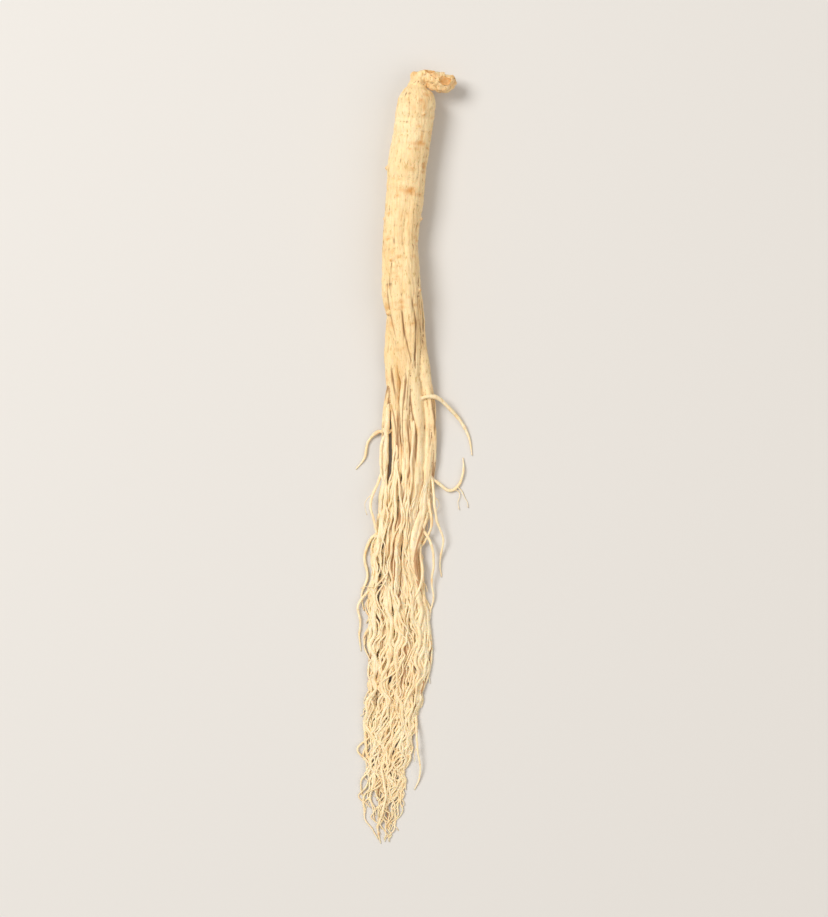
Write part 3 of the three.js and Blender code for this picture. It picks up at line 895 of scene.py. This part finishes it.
def crown():
    """The rhizome with its dished scars, and the bud beside it."""
    rhizome = limb(RHIZOME, *RHIZOME_MESH, dress_rhizome)
    for scar in SCARS:
        dish(rhizome, *scar)
    out, wide = np.array(BUD_RINGS).T
    stain = lerp(*BUD_STAIN, np.clip(out, 0, 1))[:, None]
    shades = {"crevice": BUD_DARK, "stain": stain, "young": 0.0}
    lean = unit(np.array(BUD_LEAN))
    bud = rough_stump(BUD["centre"], lean, BUD["radius"], out, wide, shades, BUD_SEED)
    return [rhizome, bud]


def stubs():
    """The stubs of lost rootlets on the main root."""
    spine = Spine(BODY)
    out, wide, stain = np.array(STUB_RINGS).T
    shades = {"crevice": STUB_DARK * stain[:, None], "stain": stain[:, None], "young": STUB_YOUNG}
    made = []
    for i, (share, degrees, size) in enumerate(STUBS):
        centre, along, radius = spine.at([share])
        side, top = sides_of(along)
        angle = math.radians(degrees)
        reach = radius[0] + main_form(centre[0, 1], angle)
        outwards = math.cos(angle) * side[0] + math.sin(angle) * top[0]
        lean = unit(outwards + STUB_LEAN * along[0])
        place = centre[0] + reach * outwards
        made.append(rough_stump(place, lean, size, out, wide, shades, STUB_SEED + i))
    return made


# Fusing

def fuse(solids):
    """One skin round all of the solids, joined where they cross."""
    base = mesh_object("fusing", solids[0])
    others = bpy.data.collections.new("fused")
    for i, solid in enumerate(solids[1:]):
        piece = mesh_object(f"fusing_{i}", solid)
        bpy.context.scene.collection.objects.unlink(piece)
        others.objects.link(piece)
    bpy.context.scene.collection.children.link(others)
    union = base.modifiers.new("union", "BOOLEAN")
    union.operation = "UNION"
    union.operand_type = "COLLECTION"
    union.collection = others
    union.solver = "MANIFOLD"
    base.modifiers.new("weld", "WELD").merge_threshold = WELD * MM
    view = bpy.context.evaluated_depsgraph_get()
    mesh = bpy.data.meshes.new_from_object(base.evaluated_get(view))
    places = np.empty(3 * len(mesh.vertices))
    mesh.vertices.foreach_get("co", places)
    faces = [tuple(polygon.vertices) for polygon in mesh.polygons]
    for piece in [*others.objects, base]:
        bpy.data.objects.remove(piece)
    bpy.data.collections.remove(others)
    return without_idle_corners(Solid(places.reshape(-1, 3) / MM, faces))


def edges_of(solid):
    pairs = {tuple(sorted(pair)) for face in solid.faces for pair in zip(face, face[1:] + face[:1])}
    return np.array(sorted(pairs))


def without_idle_corners(solid):
    """Leaves out corners where only two edges meet: the faces that share one can fold flat together."""
    kept = np.bincount(edges_of(solid).ravel(), minlength=len(solid.places)) > 2
    if kept.all():
        return solid
    number = np.cumsum(kept) - 1
    faces = [tuple(number[v] for v in face if kept[v]) for face in solid.faces]
    return without_idle_corners(Solid(solid.places[kept], [face for face in faces if len(face) > 2]))


def nearest(places, sources):
    """For each place, the index of the nearest source and how far it is."""
    tree = kdtree.KDTree(len(sources))
    for i, source in enumerate(sources):
        tree.insert(source, i)
    tree.balance()
    index, distance = zip(*(tree.find(place)[1:] for place in places))
    return np.array(index), np.array(distance)


def soften_seams(solid, sources):
    """Carries over the shades of what was fused, rounds the seams, and paints shade along them."""
    index, apart = nearest(solid.places, sources.places)
    solid.shades = {name: values[index] for name, values in sources.shades.items()}
    _, distance = nearest(solid.places, solid.places[apart > SEAM_MOVED])
    near = np.clip(1 - distance / SEAM_REACH, 0, 1)
    one, other = edges_of(solid).T
    degree = np.bincount([*one, *other], minlength=len(solid.places))
    for _ in range(SEAM_ROUNDS):
        total = np.zeros_like(solid.places)
        np.add.at(total, one, solid.places[other])
        np.add.at(total, other, solid.places[one])
        solid.places += SEAM_EASE * near[:, None] * (total / degree[:, None] - solid.places)
    # Painted shade along the seams
    solid.deepen("crevice", PAINTED_SEAM_SHADE * bell(distance / PAINTED_SEAM_SHADE_REACH))


def press_down(solid):
    """Flattens what would reach below the table, with a soft edge."""
    z = solid.places[:, 2]
    solid.places[:, 2] = np.where(z < PRESS, PRESS * np.exp(np.minimum(z - PRESS, 0) / PRESS), z)


def main_root():
    """The main root, crown, stubs, legs and stray rootlets, fused into one skin."""
    parts = [limb(BODY, *BODY_MESH, dress_body), *crown(), *stubs()]
    for i, (route, sides) in enumerate(zip(LEGS, LEG_SIDES)):
        parts.append(limb(route, sides, LEG_STEP, leg_dresser(i)))
    for i, route in enumerate(STRAYS):
        parts.append(limb(tapered(route), STRAY_SIDES, LEG_STEP, rootlet_dresser(i)))
    fused = fuse(parts)
    soften_seams(fused, joined(parts))
    press_down(fused)
    return mesh_object("root_skin", fused)


# Rootlets

def tapered(route):
    """The route with a fine tip."""
    x, y, gap, _ = route[-1]
    return [*route[:-1], (x, y, gap, FINE_TIP)]


def rootlet_dresser(number):
    """The skin of one rootlet: small knots, and a slow change of girth."""

    def dress(_, angle, gone, radius):
        girth = ROOTLET_GIRTH["size"] * lined_noise(gone, number, ROOTLET_GIRTH)
        knots = np.clip(lined_noise(gone, number, ROOTLET_KNOTS) - ROOTLET_KNOTS["from"], 0, 1)
        height = np.repeat(radius * (girth + ROOTLET_KNOTS["size"] * knots), angle.size, axis=1)
        return height, {"crevice": ROOTLET_DARK, "stain": growing(ROOTLET_STAIN, knots), "young": 1.0}

    return dress


def rootlet(route, sides, number):
    """A thin knotty limb that wavers along its route and ends in a fine tip."""
    made = limb(tapered(route), sides, ROOTLET_STEP, rootlet_dresser(number))
    made.places[:, 0] += ROOTLET_WIGGLE["size"] * lined_noise(made.places[:, 1], number, ROOTLET_WIGGLE)
    return made


def spray_route(leg, at, turn, length, roll):
    """A rootlet that leaves its leg sideways, turns down the root, and wanders."""
    centre, along, girth = Spine(leg).at([at])
    thick = min(ROOTLET_RADIUS, FORK_SHARE * girth[0])
    step = length / SPRAY_STEPS
    loft = roll(*SPRAY_LOFT) * lerp(*LOFT_SHARE, at)
    x, y, z = centre[0]
    heading = math.atan2(along[0, 1], along[0, 0]) + turn
    route = []
    for i in range(SPRAY_STEPS + 1):
        share = i / SPRAY_STEPS
        radius = lerp(thick, TIP_RADIUS, share)
        gap = loft * math.sin(math.pi * lerp(ARCH_FROM, 1, share)) ** 2 + GROUND_GAP
        route.append((x, y, z - radius if i == 0 else gap, radius))
        middle = BUNDLE["x"] + BUNDLE["lean"] * (y - BUNDLE["y"])
        target = DOWN - SPREAD * (x - middle)
        heading += PULL * (target - heading) + roll(*WANDER)
        x += step * math.cos(heading)
        y += step * math.sin(heading)
    return route


def spray_routes():
    """The larger rootlets of every leg, on both sides by turns and out to the tips."""
    roll = dice(SPRAY_SEED)
    routes = []
    for leg, count in zip(LEGS, SPRAY_COUNT):
        for i in range(count):
            at = lerp(SPRAY_FROM, SPRAY_TO, (i + roll(*SPRAY_JITTER)) / count)
            turn = (1 if i % 2 else -1) * roll(*SPRAY_TURN)
            length = roll(*SPRAY_LENGTH) * lerp(*SPRAY_STRETCH, at)
            routes.append(spray_route(leg, at, turn, length, roll))
    return routes


def mat_at(y):
    """The mat's middle, half width and height at y."""
    left, right, height = (np.interp(y, MAT[:, 0], MAT[:, column]) for column in (1, 2, 3))
    return (left + right) / 2, (right - left) / 2, height


def clumped(y, lane):
    """How far the rootlets at y move together to the side, in each lane of the mat."""
    return sum(size * noise(y / wave, cells * lane, CLUMP_AT, MAT_SEED) for wave, cells, size in CLUMPS)


def mat_route(kind, leg, roll):
    """A rootlet that leaves a leg and swings down through a layer of the mat."""
    low, high = kind["start"]
    centre, _, thick = leg.at([leg.share_at_y(roll(max(low, leg.lowest + LEG_END), high))])
    x, y, z = centre[0]
    length = min(roll(*kind["length"]), (y - LOWEST) * roll(*TIP_REACH))
    share = np.linspace(0, 1, max(MAT_POINTS, round(length / MAT_STEP)) + 1)
    y = y - length * share
    middle, half, height = mat_at(y)
    first = (x - middle[0]) / half[0]
    last = min(max(first + kind["drift"] * roll(-1, 1), -MAT_LANES), MAT_LANES)
    lane = lerp(first, last, smooth_step(share, 0, 1))
    turns = TAU * length * share / roll(*kind["wave"])
    swing = np.sin(turns + roll(0, TAU))
    swing = swing + SECOND_SWING["size"] * np.sin(SECOND_SWING["turns"] * turns + roll(0, TAU))
    loose = lerp(*LOOSE, smooth_step(-y, *LOOSE_BETWEEN)) * np.minimum(1, LOOSE_AFTER * share)
    x = middle + half * lane + loose * (kind["sway"] * swing + clumped(y, lane))
    girth = lerp(min(roll(*kind["radius"]), FORK_SHARE * thick[0]), FINE_TIP, share**TAPER)
    dome = np.sqrt(np.clip(1 - ((x - middle) / (MAT_DOME["reach"] * half)) ** 2, MAT_DOME["least"], 1))
    ripple = MAT_RIPPLE["size"] * np.sin(MAT_RIPPLE["turns"] * turns)
    lie = roll(*kind["layer"]) * height * dome + ripple
    gap = np.maximum(lerp(z - girth, lie, np.minimum(1, length * share / RISE)), MAT_GAP)
    return np.column_stack([x, y, gap, girth])


def branch_route(route, roll):
    """A short thin rootlet that forks off another and turns down the root."""
    centre, along, girth = Spine(route).at([roll(*BRANCH_AT)])
    x, y, z = centre[0]
    turn = (1 if roll(-1, 1) > 0 else -1) * roll(*BRANCH_TURN)
    heading = math.atan2(along[0, 1], along[0, 0]) + turn
    radius = min(roll(*BRANCH_RADIUS), BRANCH_SHARE * girth[0])
    count = int(roll(*BRANCH_LENGTH) / BRANCH_STEP)
    bend = 0
    route = []
    for i in range(count + 1):
        thin = lerp(radius, BRANCH_TIP, i / count)
        route.append((x, y, max(MAT_GAP, (z - thin) * (1 - BRANCH_DROP * i / count)), thin))
        bend = BRANCH_KEEPS * bend + roll(*BRANCH_BEND)
        heading += BRANCH_PULL * (DOWN - heading) + bend
        x += BRANCH_STEP * math.cos(heading)
        y += BRANCH_STEP * math.sin(heading)
    return route


def in_the_box(route):
    return all(LEFTMOST < x < RIGHTMOST and y > LOWEST for x, y, _, _ in route)


def rootlet_routes():
    """The routes and sides of the large rootlets, each kind in the mat, and their branches."""
    roll = dice(MAT_SEED)
    legs = [Spine(route) for route in LEGS]
    groups = {"large": (spray_routes(), LARGE_SIDES)}
    for name, kind in KINDS.items():
        routes = [mat_route(kind, legs[i % len(legs)], roll) for i in range(kind["count"])]
        groups[name] = (routes, kind["sides"])
    roll = dice(BRANCH_SEED)
    stems = STRAYS + [route for routes, _ in groups.values() for route in routes]
    branches = [branch_route(stems[int(roll(0, len(stems)))], roll) for _ in range(BRANCH_COUNT)]
    groups["branch"] = ([route for route in branches if in_the_box(route)], BRANCH_SIDES)
    return groups


def rootlets():
    """All of the rootlets, in a piece for each group."""
    pieces = []
    for name, (routes, sides) in rootlet_routes().items():
        solids = [rootlet(route, sides, i) for i, route in enumerate(routes)]
        pieces.append(mesh_object(f"{name}_rootlets", joined(solids)))
    return pieces


# Material

def linear(part):
    """A part of a screen's colour, 0 to 255, in the even steps of a shader."""
    share = part / 255
    return share / 12.92 if share <= 0.04045 else ((share + 0.055) / 1.055) ** 2.4


def tone(*parts):
    return (*map(linear, parts), 1)


def fill(node, values):
    """Sets a node's sockets to plain values."""
    for socket, value in values.items():
        node.inputs[socket].default_value = value


class Shader:
    """Adds nodes to a material in a few words."""

    def __init__(self, name):
        self.material = bpy.data.materials.new(name)
        self.material.use_nodes = True
        self.nodes = self.material.node_tree.nodes
        self.links = self.material.node_tree.links
        self.surface = self.nodes["Principled BSDF"]

    def node(self, kind, **settings):
        made = self.nodes.new(kind)
        for key, value in settings.items():
            setattr(made, key, value)
        return made

    def link(self, output, node, socket):
        self.links.new(output, node.inputs[socket])

    def attribute(self, name):
        return self.node("ShaderNodeAttribute", attribute_name=name).outputs["Fac"]

    def noise(self, scale, detail, roughness):
        """Noise at the object's own coordinates, stretched by a scale each way."""
        mapping = self.node("ShaderNodeMapping")
        fill(mapping, {"Scale": scale})
        self.link(self.node("ShaderNodeTexCoord").outputs["Object"], mapping, "Vector")
        texture = self.node("ShaderNodeTexNoise")
        fill(texture, {"Scale": 1, "Detail": detail, "Roughness": roughness})
        self.link(mapping.outputs["Vector"], texture, "Vector")
        return texture.outputs["Fac"]

    def ranged(self, value, low, high, to_low=0, to_high=1):
        mapped = self.node("ShaderNodeMapRange", interpolation_type="SMOOTHSTEP")
        self.link(value, mapped, "Value")
        fill(mapped, {"From Min": low, "From Max": high, "To Min": to_low, "To Max": to_high})
        return mapped.outputs["Result"]

    def scaled(self, value, factor):
        product = self.node("ShaderNodeMath", operation="MULTIPLY")
        self.link(value, product, 0)
        fill(product, {1: factor})
        return product.outputs[0]

    def mixed(self, factor, one, other):
        """A colour between two, each a colour or an output."""
        mix = self.node("ShaderNodeMix", data_type="RGBA")
        self.link(factor, mix, 0)
        for socket, value in ((6, one), (7, other)):
            if isinstance(value, tuple):
                fill(mix, {socket: value})
            else:
                self.link(value, mix, socket)
        return mix.outputs[2]

    def bump(self, scale, strength, distance, under=None):
        """A fine relief, over another one if that is given."""
        made = self.node("ShaderNodeBump")
        fill(made, {"Strength": strength, "Distance": distance})
        self.link(self.noise(scale, BUMP_DETAIL, BUMP_ROUGHNESS), made, "Height")
        if under:
            self.link(under, made, "Normal")
        return made.outputs["Normal"]


def skin_material():
    """Dry cream skin: mottled and streaked, ochre in its scars, and brown in its creases, partly its own
    tone and partly painted shade.
    """
    shader = Shader("ginseng_skin")
    surface = shader.surface
    young = shader.attribute("young")
    tones = {name: shader.mixed(young, tone(*old), tone(*new)) for name, (old, new) in TONES.items()}
    tones["pale"] = tone(*PALE)
    marks = {}
    colour = tones["cream"]
    for name, (over, strength, scale, detail, roughness, shows) in MARKS.items():
        marks[name] = shader.ranged(shader.noise(scale, detail, roughness), *shows)
        colour = shader.mixed(shader.scaled(marks[name], strength), colour, tones[over])
    # The darker tone of rings and creases, with painted shade in folds and along seams: tan, and brown
    # where deepest
    crevice = shader.attribute("crevice")
    darkest_tone_and_shade = shader.ranged(crevice, *DARKEST_TONE_AND_SHADE_FROM)
    colour = shader.mixed(shader.scaled(shader.attribute("stain"), STAIN_STRENGTH), colour, tones["ochre"])
    colour = shader.mixed(shader.scaled(crevice, DARK_TONE_AND_SHADE_STRENGTH), colour, tones["tan"])
    colour = shader.mixed(shader.scaled(darkest_tone_and_shade, DARKEST_TONE_AND_SHADE_STRENGTH), colour, tones["brown"])
    shader.link(colour, surface, "Base Color")
    shader.link(shader.ranged(marks["mottle"], 0, 1, *SKIN_ROUGHNESS), surface, "Roughness")
    grain = shader.bump(**SKIN_BUMPS["grain"])
    shader.link(shader.bump(**SKIN_BUMPS["folds"], under=grain), surface, "Normal")
    fill(surface, SKIN_SURFACE)
    return shader.material


# Stage

def table_top():
    bpy.ops.mesh.primitive_plane_add(size=TABLE_SIZE, location=(0, 0, -TABLE_DROP))
    floor = bpy.context.object
    floor.name = "table_top"
    shader = Shader("pale_table")
    fill(shader.surface, {"Base Color": tone(*TABLE_TONE), **TABLE_SURFACE})
    floor.data.materials.append(shader.material)


def area_light(name, place, size, power, colour):
    light = bpy.data.lights.new(name, "AREA")
    light.size = size
    light.energy = power
    light.color = colour
    lamp = placed(name, light)
    lamp.location = place
    lamp.rotation_euler = (Vector(LIGHTS_AIM) - Vector(place)).to_track_quat("-Z", "Y").to_euler()


def studio():
    """Two soft lights and an even sky."""
    for name, light in LIGHTS.items():
        area_light(name, **light)
    world = bpy.data.worlds.new("studio")
    world.use_nodes = True
    fill(world.node_tree.nodes["Background"], SKY)
    bpy.context.scene.world = world
    bpy.context.scene.view_settings.view_transform = "Standard"


def camera():
    """Straight above the root, with the rhizome at the top of the picture."""
    low, high = cad_box
    middle = (low + high) / 2
    half_height = (high.y - low.y) / 2 / FRAME_SHARE
    distance = half_height * LENS / (SENSOR / 2)
    data = bpy.data.cameras.new("camera")
    data.lens = LENS
    data.sensor_width = SENSOR
    data.clip_start = CLIP_START
    eye = placed("camera", data)
    eye.location = (middle.x, middle.y, distance)
    bpy.context.scene.camera = eye


def dress():
    """Puts the root's pieces in the place of its CAD node."""
    skin = skin_material()
    for piece in [main_root(), *rootlets()]:
        piece.data.materials.append(skin)
        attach(piece, "root")
        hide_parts("ginseng_root")


camera()
dress()
table_top()
studio()
